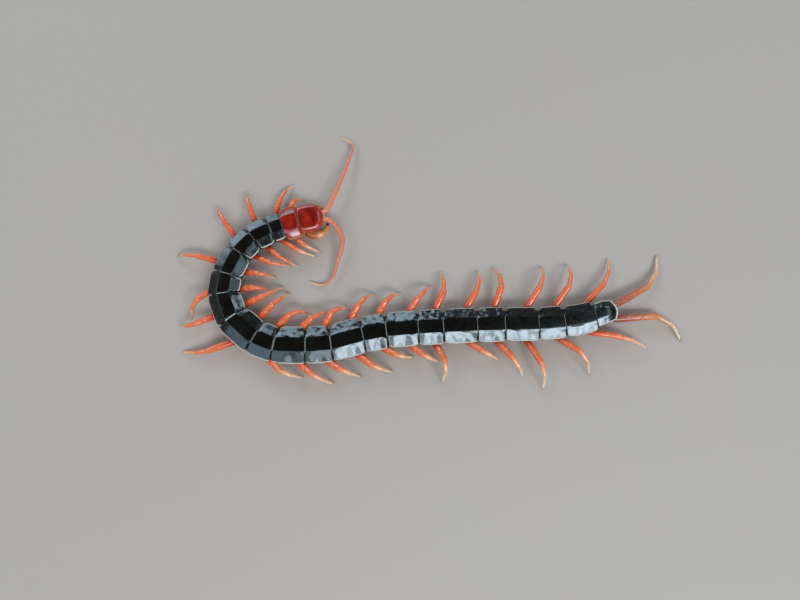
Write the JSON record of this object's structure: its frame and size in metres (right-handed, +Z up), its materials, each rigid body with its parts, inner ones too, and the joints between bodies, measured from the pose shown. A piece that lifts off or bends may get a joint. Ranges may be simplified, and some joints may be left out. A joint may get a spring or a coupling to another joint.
{
  "type": "centipede model",
  "caption": "Still life-size model of a large black centipede with a red head and orange legs, its front curled into a hook, standing on its legs as a display piece.",
  "frame": {"origin": "centre of the bounding box on the floor, under the feet", "axes": "+X from the hook of the body towards the trailing last legs, +Y towards the head's side, +Z up"},
  "size_m": [0.1534, 0.0809, 0.0069],
  "materials": {
    "red_cuticle": "gloss",
    "black_cuticle": "gloss",
    "orange_cuticle": "satin",
    "coral_cuticle": "satin",
    "amber_cuticle": "gloss",
    "ocellus": "gloss"
  },
  "bodies": {
    "root": {"head": "red_cuticle", "trunk_01": "red_cuticle", "trunk_02_03": "black_cuticle", "trunk_04_05": "black_cuticle", "trunk_06_07": "black_cuticle", "trunk_08_09": "black_cuticle", "trunk_10_11": "black_cuticle", "trunk_12_13": "black_cuticle", "trunk_14_15": "black_cuticle", "trunk_16_17": "black_cuticle", "trunk_18_19": "black_cuticle", "trunk_20_21": "black_cuticle", "ocelli_left": "ocellus", "antenna_left": "coral_cuticle", "forcipule_left": "amber_cuticle", "leg_left_01": "orange_cuticle", "leg_left_02": "orange_cuticle", "leg_left_03": "orange_cuticle", "leg_left_04": "orange_cuticle", "leg_left_05": "orange_cuticle", "leg_left_06": "orange_cuticle", "leg_left_07": "orange_cuticle", "leg_left_08": "orange_cuticle", "leg_left_09": "orange_cuticle", "leg_left_10": "orange_cuticle", "leg_left_11": "orange_cuticle", "leg_left_12": "orange_cuticle", "leg_left_13": "orange_cuticle", "leg_left_14": "orange_cuticle", "leg_left_15": "orange_cuticle", "leg_left_16": "orange_cuticle", "leg_left_17": "orange_cuticle", "leg_left_18": "orange_cuticle", "leg_left_19": "orange_cuticle", "leg_left_20": "orange_cuticle", "ultimate_leg_left": "orange_cuticle", "ocelli_right": "ocellus", "antenna_right": "coral_cuticle", "forcipule_right": "amber_cuticle", "leg_right_01": "orange_cuticle", "leg_right_02": "orange_cuticle", "leg_right_03": "orange_cuticle", "leg_right_04": "orange_cuticle", "leg_right_05": "orange_cuticle", "leg_right_06": "orange_cuticle", "leg_right_07": "orange_cuticle", "leg_right_08": "orange_cuticle", "leg_right_09": "orange_cuticle", "leg_right_10": "orange_cuticle", "leg_right_11": "orange_cuticle", "leg_right_12": "orange_cuticle", "leg_right_13": "orange_cuticle", "leg_right_14": "orange_cuticle", "leg_right_15": "orange_cuticle", "leg_right_16": "orange_cuticle", "leg_right_17": "orange_cuticle", "leg_right_18": "orange_cuticle", "leg_right_19": "orange_cuticle", "leg_right_20": "orange_cuticle", "ultimate_leg_right": "orange_cuticle"}
  },
  "joints": []
}
